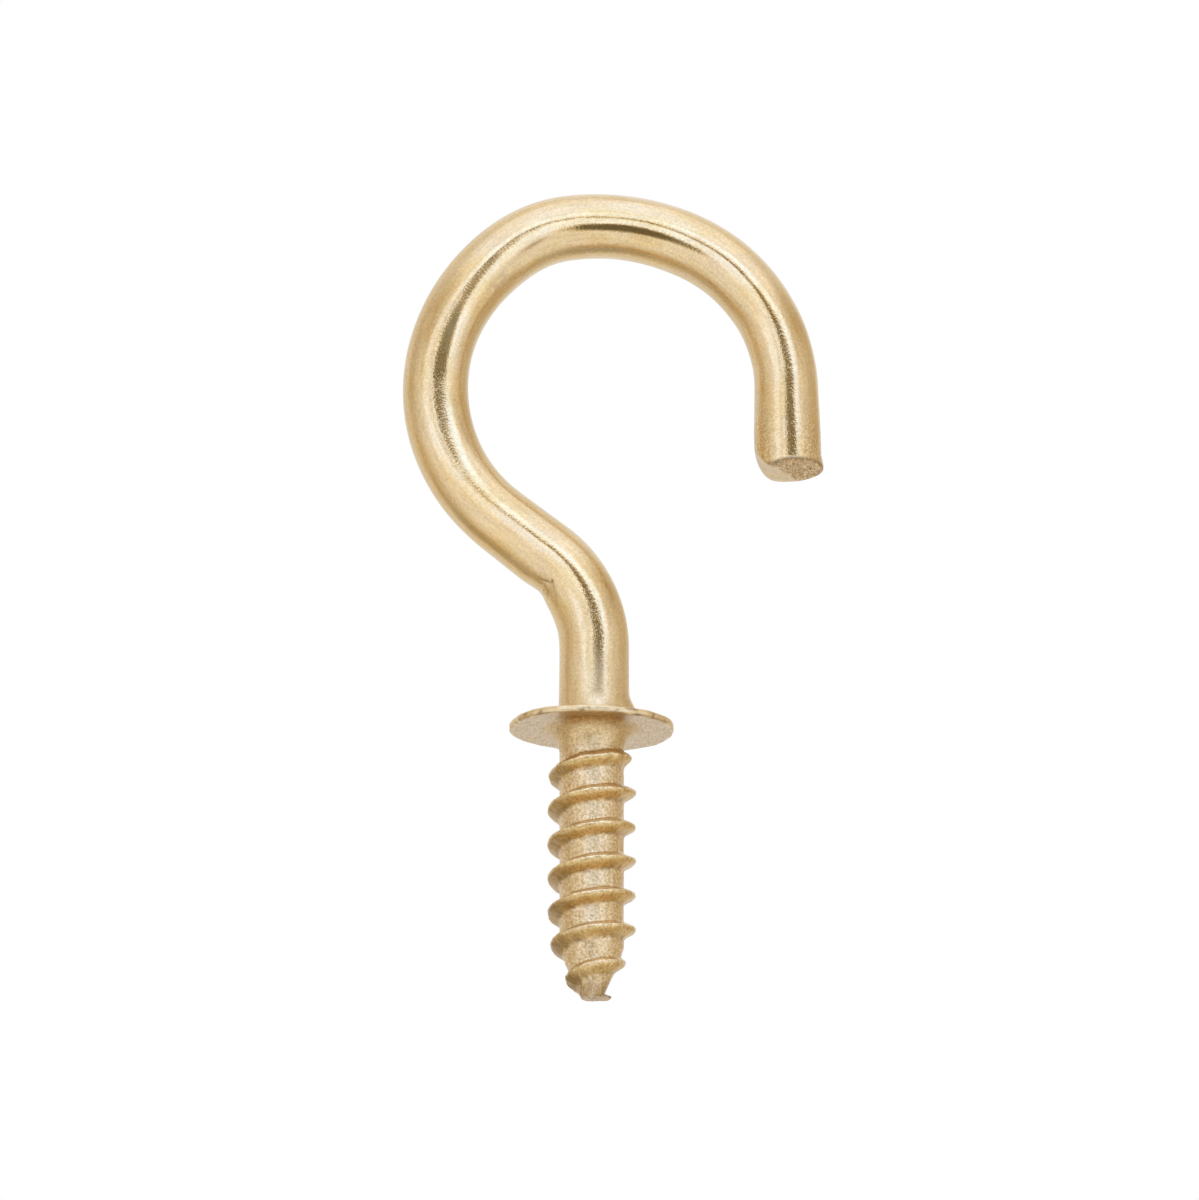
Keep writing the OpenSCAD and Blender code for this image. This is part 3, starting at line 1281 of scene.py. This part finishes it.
@dataclass(frozen=True)
class BrassFinish:
    """Drawn brass wire, satin and softly worn under a thin lacquer, with its worked zones.

    A tone's share says how much of it shows where its zone or texture is at its fullest.
    """

    clean: Tone = tone(0.825, 0.645, 0.385)
    warm: Tone = tone(0.80, 0.585, 0.30)
    rosy: Tone = tone(0.80, 0.61, 0.40)
    golden: Tone = tone(0.76, 0.52, 0.20)
    # Lighter metal: a painted highlight on the crests, and wear on the collar's rim.
    bare_highlight: Tone = tone(0.88, 0.70, 0.42)
    pale: Tone = tone(0.95, 0.80, 0.60)
    browned: Tone = tone(0.60, 0.40, 0.15)
    # Deep brown, for real specks and marks and for painted shade.
    tarnish_and_shade: Tone = tone(0.27, 0.16, 0.06)

    patches: Texture = Texture(0.5, 3.0, window=(0.35, 0.65))
    warm_share: float = 0.75
    flush: Texture = Texture((1.7, 1.7, 0.4))
    flush_rosy: float = 0.35
    flush_rosy_window: tuple[float, float] = (0.5, 0.65)
    flush_golden: float = 0.4
    flush_golden_window: tuple[float, float] = (0.5, 0.35)
    mottle: Texture = Texture(7.0, 3.0, 0.7, window=(0.4, 0.75))
    mottle_golden: float = 0.35
    collar_rosy: float = 0.4
    worked_rosy: float = 0.3
    flank_golden: float = 0.85
    crest_highlight: float = 0.7
    edge_wear: float = 0.7

    grit: Texture = Texture(8.0, 3.0, 0.7)
    grit_light: float = 0.75
    grit_browned: float = 0.75
    grit_browned_window: tuple[float, float] = (0.52, 0.36)
    grit_pale: float = 0.55
    grit_pale_window: tuple[float, float] = (0.5, 0.66)
    collar_calm: float = 0.6
    collar_unlit: float = 0.8
    flank_unlit: float = 0.75
    drawing: Texture = Texture((6.0, 6.0, 0.5), 3.0, 0.6)
    drawing_light: float = 0.4
    pressing: Texture = Texture((8.0, 2.5, 8.0), 3.0, 0.7)
    pressed_level: float = 0.66
    pressed_light: float = 1.2
    broken_level: float = 0.51
    broken_light: float = 2.4

    stains: Texture = Texture(9.0, 3.0, 0.7, window=(0.5, 0.57))
    specks: Texture = Texture(9.0, 2.0, 0.6, window=(0.58, 0.72))
    specks_everywhere: float = 0.06
    specks_worked: float = 0.2
    shade_and_dirt_share: float = 0.75

    lacquer: float = 0.4
    lacquer_roughness: float = 0.12
    wire_roughness: float = 0.06
    matte_roughness: float = 0.37
    torn_roughness: float = 0.46
    streaks: Texture = Texture((5.0, 5.0, 0.35), 4.0, 0.6)
    streak_roughness: float = 0.06
    speckle: Texture = Texture(11.0, 2.0, 0.6, window=(0.45, 0.68))
    speckle_roughness: float = 0.16

    peel: Texture = Texture(9.0, 2.0, 0.6)
    peel_depth: float = 0.0026
    pebble_depth: float = 0.0045
    lines: Texture = Texture((7.0, 7.0, 1.5))
    line_depth: float = 0.0008
    coarse: Texture = Texture(6.0, 4.0, 0.7)
    coarse_depth: float = 0.016

    def make(self) -> bpy.types.Material:
        """Builds the finish's material.

        Returns:
            The material, with the finish on its surface.
        """
        material = new_material("drawn_brass")
        metal = MetalBench(material.node_tree)
        shader = metal.add("ShaderNodeBsdfPrincipled")
        given = {
            "Metallic": 1.0,
            "Coat Weight": self.lacquer,
            "Coat Roughness": self.lacquer_roughness,
            "Base Color": self._colour(metal),
            "Roughness": self._roughness(metal),
            "Normal": self._relief(metal),
        }
        for name, value in given.items():
            metal.feed(shader.inputs[name], value)
        metal.feed(metal.add("ShaderNodeOutputMaterial").inputs["Surface"], shader.outputs[0])
        return material

    def _colour(self, metal: MetalBench) -> object:
        """The metal's colour: its tones, then its grain and light, then stains, and a deep brown for specks,
        real marks and painted shade.

        Args:
            metal: The material's nodes.

        Returns:
            The colour's socket.
        """
        grit = metal.noise(metal.place, self.grit)
        colour = self._grained(metal, grit, self._tones(metal))
        light = metal.maths("ADD", self._light(metal, grit), 1.0)
        colour = metal.vector("SCALE", colour, light).outputs[0]
        stains = metal.times(metal.patches(metal.place, self.stains), metal.zones[Zone.SCUFF])
        colour = metal.mix(stains, colour, self.browned)
        specks = metal.patches(metal.place, self.specks)
        darkening = metal.times_plus(metal.worked, self.specks_worked, self.specks_everywhere)
        # The darkened zone holds real marks and painted shade alike; both take the deep brown, as do the
        # specks.
        shade_and_dirt = metal.times(metal.zones[Zone.SEAM], self.shade_and_dirt_share)
        return metal.mix(metal.larger(metal.times(specks, darkening), shade_and_dirt), colour, self.tarnish_and_shade)

    def _tones(self, metal: MetalBench) -> object:
        """The metal's tones: clean, warm and flushed patches, then each worked zone's tone, with golden
        painted shade on the thread's lobes away from the mouth and a painted highlight on its crests.

        Args:
            metal: The material's nodes.

        Returns:
            The colour's socket.
        """
        flush = metal.noise(metal.place, self.flush)
        flush_rosy = metal.ramp(flush, *self.flush_rosy_window)
        flush_golden = metal.ramp(flush, *self.flush_golden_window)
        patches = metal.patches(metal.place, self.patches)
        mottle = metal.patches(metal.place, self.mottle)
        bare_and_highlit = metal.larger(metal.zones[Zone.CREST], metal.times(metal.zones[Zone.EDGE], self.edge_wear))
        reddened = metal.times(metal.worked, self.worked_rosy)
        layers = (
            (metal.times(patches, self.warm_share), self.warm),
            (metal.times(flush_rosy, self.flush_rosy), self.rosy),
            (metal.times(flush_golden, self.flush_golden), self.golden),
            (metal.times_plus(metal.plain, self.collar_rosy, reddened), self.rosy),
            (metal.times(metal.worked, metal.times(mottle, self.mottle_golden)), self.golden),
            # Golden on the thread's flanks and the neck, and as painted shade on the lobes away from the
            # mouth.
            (metal.times(metal.zones[Zone.FLANK], self.flank_golden), self.golden),
            # Lighter metal: a painted highlight on the crests and wear on the collar's rim.
            (metal.times(bare_and_highlit, self.crest_highlight), self.bare_highlight),
        )
        colour = self.clean
        for share, over in layers:
            colour = metal.mix(share, colour, over)
        return colour

    def _grained(self, metal: MetalBench, grit: object, colour: object) -> object:
        """The colour with the worked zones' browned and pale grains on it.

        Args:
            metal: The material's nodes.
            grit: The grain's noise.
            colour: The colour under the grains.

        Returns:
            The colour's socket.
        """
        browned = metal.times(metal.worked_less((Zone.COLLAR, self.collar_calm)), self.grit_browned)
        browned = metal.times(metal.ramp(grit, *self.grit_browned_window), browned)
        pale = metal.worked_less((Zone.COLLAR, self.collar_unlit), (Zone.FLANK, self.flank_unlit))
        pale = metal.times(metal.ramp(grit, *self.grit_pale_window), metal.times(pale, self.grit_pale))
        return metal.mix(pale, metal.mix(browned, colour, self.browned), self.pale)

    def _light(self, metal: MetalBench, grit: object) -> object:
        """How much lighter or darker the metal is for its grain, drawing lines and broken faces.

        Args:
            metal: The material's nodes.
            grit: The grain's noise.

        Returns:
            The change's socket, as a share of the colour.
        """
        drawing = metal.minus(metal.noise(metal.place, self.drawing), 0.5)
        pressing = metal.noise(metal.place, self.pressing)
        calmed = metal.times_plus(metal.zones[Zone.COLLAR], -self.collar_calm, self.grit_light, clamp=True)
        light = metal.times(metal.minus(grit, 0.5), calmed)
        pressed = metal.times(metal.minus(pressing, self.pressed_level), metal.plain)
        light = metal.times_plus(pressed, self.pressed_light, light)
        broken = metal.times(metal.minus(pressing, self.broken_level), metal.zones[Zone.SHEAR])
        light = metal.times_plus(broken, self.broken_light, light)
        return metal.times_plus(drawing, self.drawing_light, light)

    def _roughness(self, metal: MetalBench) -> object:
        """The roughness: satin on the drawn wire, more on the thread and most on the torn end.

        Args:
            metal: The material's nodes.

        Returns:
            The roughness's socket.
        """
        least = self.wire_roughness - self.streak_roughness / 2
        value = metal.times_plus(metal.noise(metal.place, self.streaks), self.streak_roughness, least)
        speckle = metal.times(metal.patches(metal.place, self.speckle), metal.zones[Zone.PEBBLE])
        value = metal.times_plus(speckle, self.speckle_roughness, value)
        matte = metal.zones[Zone.THREAD]
        for zone, share in ((Zone.COLLAR, 0.9), (Zone.SCUFF, 0.15), (Zone.SATIN, 0.8)):
            matte = metal.larger(matte, metal.times(metal.zones[zone], share))
        matte = metal.minus(matte, metal.times(metal.zones[Zone.CREST], 0.5), clamp=True)
        value = metal.times_plus(matte, self.matte_roughness - self.wire_roughness, value)
        torn = self.torn_roughness - self.wire_roughness
        return metal.times_plus(metal.zones[Zone.SHEAR], torn, value)

    def _relief(self, metal: MetalBench) -> object:
        """Fine relief: orange-peel grain, drawing lines, and the coarse grain of worked zones.

        Args:
            metal: The material's nodes.

        Returns:
            The normal's socket.
        """
        depth = metal.times_plus(metal.zones[Zone.PEBBLE], self.pebble_depth, self.peel_depth)
        height = metal.times(metal.noise(metal.place, self.peel), depth)
        height = metal.times_plus(metal.noise(metal.place, self.lines), self.line_depth, height)
        coarse = metal.times(metal.noise(metal.place, self.coarse), metal.worked)
        height = metal.times_plus(coarse, self.coarse_depth, height)
        node = metal.add("ShaderNodeBump")
        for name, value in {"Strength": 1.0, "Distance": MM, "Height": height}.items():
            metal.feed(node.inputs[name], value)
        return node.outputs["Normal"]


# ----------------------------------------------------------------------------- the object


def linked(name: str, data: bpy.types.ID) -> bpy.types.Object:
    """A new object, linked to the scene.

    Args:
        name: The object's name.
        data: The object's mesh or camera.

    Returns:
        The object.
    """
    made = bpy.data.objects.new(name, data)
    bpy.context.scene.collection.objects.link(made)
    return made


@dataclass
class CupHook:
    """The whole hook: one skin over the screw, the collar, the wire and the sheared end."""

    screw: WoodScrew = field(default_factory=WoodScrew)
    collar: Collar = field(default_factory=Collar)
    wire: Wire = field(default_factory=Wire)
    end: ShearedEnd = field(default_factory=ShearedEnd)
    finish: BrassFinish = field(default_factory=BrassFinish)

    def build(self) -> bpy.types.Object:
        """Builds the hook's mesh.

        Returns:
            The new object, linked to the scene.
        """
        skin = Skin()
        self.screw.build(skin)
        seat = self.wire.station(0.0)
        self.collar.build(skin, self.screw, seat, self.wire.shank_radius)
        self.wire.build(skin, self.collar.thickness + self.collar.foot_fillet, self.end)
        return linked("cup_hook_brass", self._mesh(skin))

    def _mesh(self, skin: Skin) -> bpy.types.Mesh:
        """Turns the skin's rows into one closed mesh with its paint as attributes.

        Args:
            skin: The skin, whose first and last rows each become one point.

        Returns:
            The mesh.
        """
        index = np.arange((len(skin.places) - 2) * COLUMNS).reshape(-1, COLUMNS)
        beside = np.roll(index, -1, axis=1)
        quads = np.stack([index[:-1], beside[:-1], beside[1:], index[1:]], axis=-1)
        faces = quads.reshape(-1, 4).tolist()
        low, high = index.size, index.size + 1
        faces += [(low, int(b), int(a)) for a, b in zip(index[0], beside[0])]
        faces += [(high, int(a), int(b)) for a, b in zip(index[-1], beside[-1])]
        mesh = bpy.data.meshes.new("hook_skin")
        mesh.from_pydata((self._pointwise(skin.places) * MM).tolist(), [], faces)
        mesh.validate()
        mesh.update()
        mesh.polygons.foreach_set("use_smooth", np.ones(len(mesh.polygons), bool))
        self._store(mesh, "drawn", "FLOAT_VECTOR", "vector", skin.drawn)
        for zone, rows in skin.paint.items():
            self._store(mesh, zone.value, "FLOAT", "value", rows)
        return mesh

    @staticmethod
    def _pointwise(rows: list[np.ndarray]) -> np.ndarray:
        """The inner rows' values point by point, then the mean of each end row."""
        return np.concatenate([*rows[1:-1], *(np.stack([rows[i].mean(0)]) for i in (0, -1))])

    def _store(self, mesh: bpy.types.Mesh, name: str, kind: str, key: str, rows: list[np.ndarray]) -> None:
        """Stores rows of values as an attribute, one value for each point of the mesh."""
        values = self._pointwise(rows).astype(np.float32)
        mesh.attributes.new(name, kind, "POINT").data.foreach_set(key, values.ravel())

    def dress(self, hook: bpy.types.Object) -> None:
        """Gives the hook its finish."""
        hook.data.materials.append(self.finish.make())


# ----------------------------------------------------------------------------- the studio


@dataclass(frozen=True)
class Card:
    """A patch of the light tent's wall, seen from the hook.

    Azimuth 0 is in front of the hook, at -Y, and 90 is at +X. Angles are in degrees.
    """

    role: str
    azimuth: float
    elevation: float
    half_width: float
    half_height: float
    level: float
    roll: float = 0.0
    softness: float = 0.5

    def axes(self) -> tuple[Vector, Vector, Vector]:
        """The card's right and up, each over the sine of its half size, and its direction.

        Returns:
            The three vectors, as seen from the hook.
        """
        a, e = math.radians(self.azimuth), math.radians(self.elevation)
        towards = Vector((math.sin(a) * math.cos(e), -math.cos(a) * math.cos(e), math.sin(e)))
        right = Vector((math.cos(a), math.sin(a), 0.0))
        turned = Matrix.Rotation(math.radians(self.roll), 3, towards)
        width, height = (math.sin(math.radians(size)) for size in (self.half_width, self.half_height))
        return turned @ right / width, turned @ right.cross(-towards) / height, towards


@dataclass
class LightTent:
    """A white tent round the hook, with its bright panels, dim sides and dark openings."""

    base: float = 0.96
    cards: tuple[Card, ...] = (
        Card("top panel", 4, 63, 29, 40, 1.37, roll=-71, softness=0.75),
        Card("left side", -108, 9, 32, 46, 0.61, roll=-32, softness=1.7),
        Card("right side", 115, 3, 50, 35, 0.61, roll=-64, softness=1.7),
        Card("left seam", -72, 35, 43, 10, 0.66, softness=1.5),
        Card("right seam", 96, 36, 36, 8, 0.59, roll=-3, softness=1.9),
        Card("floor at the back", 179, -69, 49, 17, 0.43, roll=-11, softness=1.9),
        Card("back", -148, 11, 39, 30, 0.80, roll=-16, softness=0.6),
        Card("upper front panel", 13, 26, 24, 11, 1.56, roll=-2, softness=0.6),
        Card("front panel", 16, 4, 38, 19, 1.43, roll=-6, softness=0.9),
        Card("left front panel", -30, 11, 15, 9, 1.35, roll=41, softness=1.35),
        Card("lower left corner", -114, -34, 13, 18, 0.50, roll=-10, softness=1.6),
        Card("lower right fold", 30, -28, 8, 3.3, 0.63, roll=-9, softness=0.85),
        Card("front fold", -11, 15.5, 10, 2.2, 0.83, roll=13, softness=0.3),
        Card("shade round the front opening", 16, 12.5, 16, 9, 0.36, roll=-33, softness=0.7),
        Card("front opening", 12.5, 16.6, 13, 3.9, 0.13, roll=-9, softness=0.35),
        Card("viewer's opening", -6, -18, 11, 14, 0.10, roll=10, softness=0.6),
    )
    headroom: float = 2.5
    cloth: tuple[tuple[float, Tone], ...] = (
        (0.0, tone(0.0, 0.0, 0.0)),
        (0.16, tone(0.285, 0.24, 0.15)),
        (0.36, tone(0.34, 0.335, 0.275)),
        (0.60, tone(0.62, 0.53, 0.39)),
        (0.85, tone(0.855, 0.835, 0.795)),
        (1.04, tone(1.065, 1.10, 1.19)),
        (1.30, tone(1.12, 1.23, 1.51)),
        (1.60, tone(1.24, 1.555, 2.16)),
    )

    def make(self) -> bpy.types.World:
        """Builds the world: the tent for reflections and light, plain white for the camera.

        Returns:
            The world, set on the scene.
        """
        world = bpy.data.worlds.new("light_tent")
        world.use_nodes = True
        world.node_tree.nodes.clear()
        bench = NodeBench(world.node_tree)
        direction = bench.add("ShaderNodeTexCoord").outputs["Generated"]
        level = self.base
        for card in self.cards:
            level = self._hang(bench, direction, card, level)
        tent, plain = (bench.add("ShaderNodeBackground") for _ in range(2))
        bench.feed(tent.inputs["Color"], self._tinted(bench, level))
        bench.feed(plain.inputs["Color"], tone(1.0, 1.0, 1.0))
        seen = bench.add("ShaderNodeLightPath").outputs["Is Camera Ray"]
        bench.camera_mix(seen, tent.outputs[0], plain.outputs[0], "ShaderNodeOutputWorld")
        bpy.context.scene.world = world
        return world

    @staticmethod
    def _hang(bench: NodeBench, direction: object, card: Card, level: object) -> object:
        """Lays a card over the tent.

        Args:
            bench: The world's nodes.
            direction: The direction looked in.
            card: The card to hang.
            level: The tent's brightness so far.

        Returns:
            The brightness with the card in it.
        """
        nodes = [bench.vector("DOT_PRODUCT", direction, axis) for axis in card.axes()]
        across, up, towards = (node.outputs["Value"] for node in nodes)
        away = bench.maths("SQRT", bench.times_plus(up, up, bench.times(across, across)))
        cover = bench.ramp(away, 1 + card.softness / 2, 1 - card.softness / 2)
        cover = bench.times(cover, bench.ramp(towards, 0.0, 0.2))
        change = bench.minus(card.level, level)
        hung = bench.times_plus(change, cover, level)
        hung.node.label = card.role
        return hung

    def _tinted(self, bench: NodeBench, level: object) -> object:
        """The tent cloth's colour at a brightness: warm where it is dim, cool where it is lit.

        Args:
            bench: The world's nodes.
            level: The brightness.

        Returns:
            The colour's socket.
        """
        top = self.cloth[-1][0]
        node = bench.add("ShaderNodeValToRGB")
        steps = node.color_ramp.elements
        while len(steps) < len(self.cloth):
            steps.new(0.5)
        for step, (at, colour) in zip(steps, self.cloth):
            step.position = at / top
            step.color = (*(part / self.headroom for part in colour[:3]), 1.0)
        bench.feed(node.inputs[0], bench.maths("DIVIDE", level, top))
        return bench.vector("SCALE", node.outputs[0], self.headroom).outputs[0]


@dataclass
class Floor:
    """A plain pale floor well under the hook, fading to white away from it."""

    depth: float = 55.0
    radius: float = 900.0
    sides: int = 64
    fade_start: float = 40.0
    fade_end: float = 200.0
    grey: float = 0.92

    def build(self) -> bpy.types.Object:
        """Builds the floor.

        Returns:
            Nothing: the floor is marked as stage, and mark_backdrop gives nothing back.
        """
        ring = [(math.cos(a), math.sin(a)) for a in np.arange(self.sides) / self.sides * TAU]
        points = [(x * self.radius * MM, y * self.radius * MM, -self.depth * MM) for x, y in ring]
        mesh = bpy.data.meshes.new("floor")
        mesh.from_pydata(points, [], [list(range(self.sides))])
        floor = linked("floor", mesh)
        floor.visible_glossy = False
        floor.data.materials.append(self._finish())
        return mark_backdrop(floor)

    def _finish(self) -> bpy.types.Material:
        """Pale matt card that keeps the hook's shadow and fades to the white surround.

        Returns:
            The floor's material.
        """
        material = new_material("pale_floor")
        bench = NodeBench(material.node_tree)
        place = bench.add("ShaderNodeTexCoord").outputs["Object"]
        flat = bench.vector("MULTIPLY", place, (1.0, 1.0, 0.0)).outputs[0]
        away = bench.add("ShaderNodeVectorMath", operation="LENGTH")
        bench.feed(away.inputs[0], flat)
        fade = bench.ramp(away.outputs["Value"], self.fade_start * MM, self.fade_end * MM)
        card = bench.add("ShaderNodeBsdfDiffuse")
        bench.feed(card.inputs["Color"], tone(self.grey, self.grey, self.grey))
        white = bench.add("ShaderNodeEmission")
        seen = bench.times(fade, bench.add("ShaderNodeLightPath").outputs["Is Camera Ray"])
        bench.camera_mix(seen, card.outputs[0], white.outputs[0], "ShaderNodeOutputMaterial")
        return material


@dataclass
class Viewer:
    """A long-lens camera, level in front of the bow and looking up at the seat's underside."""

    tilt: float = -17.0
    span: float = 56.74
    aim_right: float = 0.37
    aim_up: float = 6.21
    distance: float = 100.0
    clip: tuple[float, float] = (1.0, 3000.0)

    def make(self) -> bpy.types.Object:
        """Builds the camera and makes it the scene's.

        Returns:
            The camera's object.
        """
        data = bpy.data.cameras.new("viewer")
        data.type = "ORTHO"
        data.ortho_scale = self.span * MM
        data.clip_start, data.clip_end = (reach * MM for reach in self.clip)
        camera = linked("viewer", data)
        e = math.radians(self.tilt)
        back = Vector((0.0, -math.cos(e), math.sin(e)))
        up = Vector((0.0, math.sin(e), math.cos(e)))
        aim = Vector((self.aim_right, 0.0, 0.0)) + up * self.aim_up
        camera.location = (aim + back * self.distance) * MM
        camera.rotation_mode = "QUATERNION"
        camera.rotation_quaternion = (-back).to_track_quat("-Z", "Y")
        bpy.context.scene.camera = camera
        return camera


# ------------------------------------------------------------------------------- the build


def main() -> None:
    """Builds the studio and the hook, and reports the hook's points and faces."""
    logging.basicConfig(level=logging.INFO, format="%(name)s: %(message)s")
    scene = bpy.context.scene
    scene.view_settings.view_transform = "Standard"
    Viewer().make()
    LightTent().make()
    Floor().build()
    hook_maker = CupHook()
    hook = hook_maker.build()
    hook_maker.dress(hook)
    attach(hook, "root")
    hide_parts(NODE)
    LOG.info("%s: %d points, %d faces", hook.name, len(hook.data.vertices), len(hook.data.polygons))


if __name__ == "__main__":
    main()
